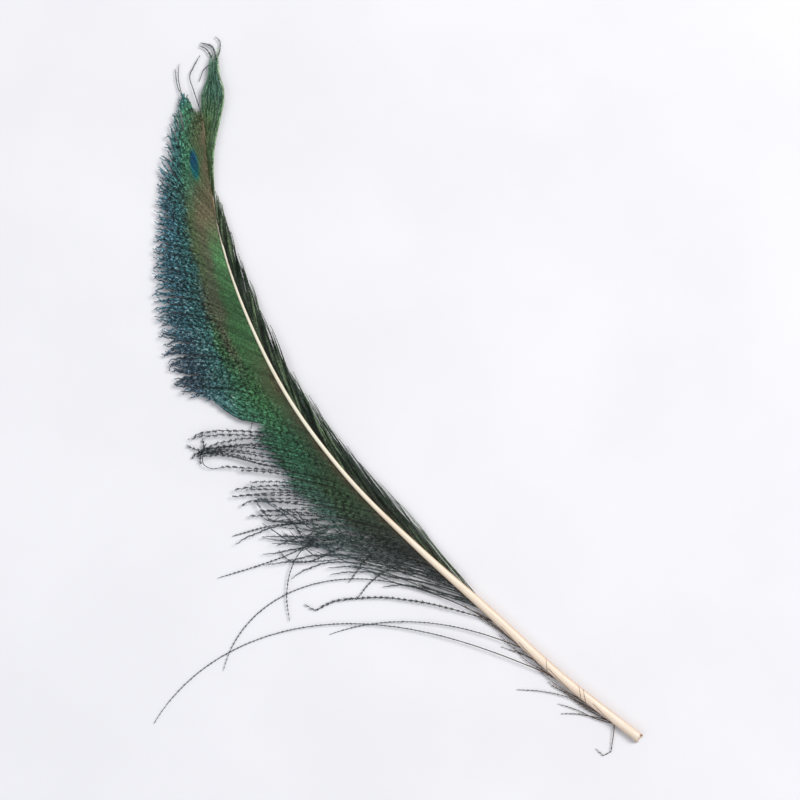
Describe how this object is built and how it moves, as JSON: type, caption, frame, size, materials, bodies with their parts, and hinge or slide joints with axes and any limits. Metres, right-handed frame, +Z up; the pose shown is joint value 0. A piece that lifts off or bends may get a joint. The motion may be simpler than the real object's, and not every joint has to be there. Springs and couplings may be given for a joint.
{
  "type": "peacock sword feather",
  "caption": "Loose peacock sword feather lying flat: a curved cream shaft, a wide iridescent outer vane with a fringed edge, a narrow inner vane and long stray barbs by the bare quill.",
  "frame": {"origin": "on the surface that the feather lies on, under the middle of its footprint", "axes": "+Y from the cut end of the quill towards the tip, +Z up from the surface, the wide outer vane on the -X side"},
  "size_m": [0.1374, 0.274, 0.0044],
  "materials": {
    "vane": "iridescent green, bronze and blue barbs with a satin sheen",
    "shaft": "smooth cream horn with a low gloss"
  },
  "bodies": {
    "root": {"feather": "vane"}
  },
  "joints": []
}
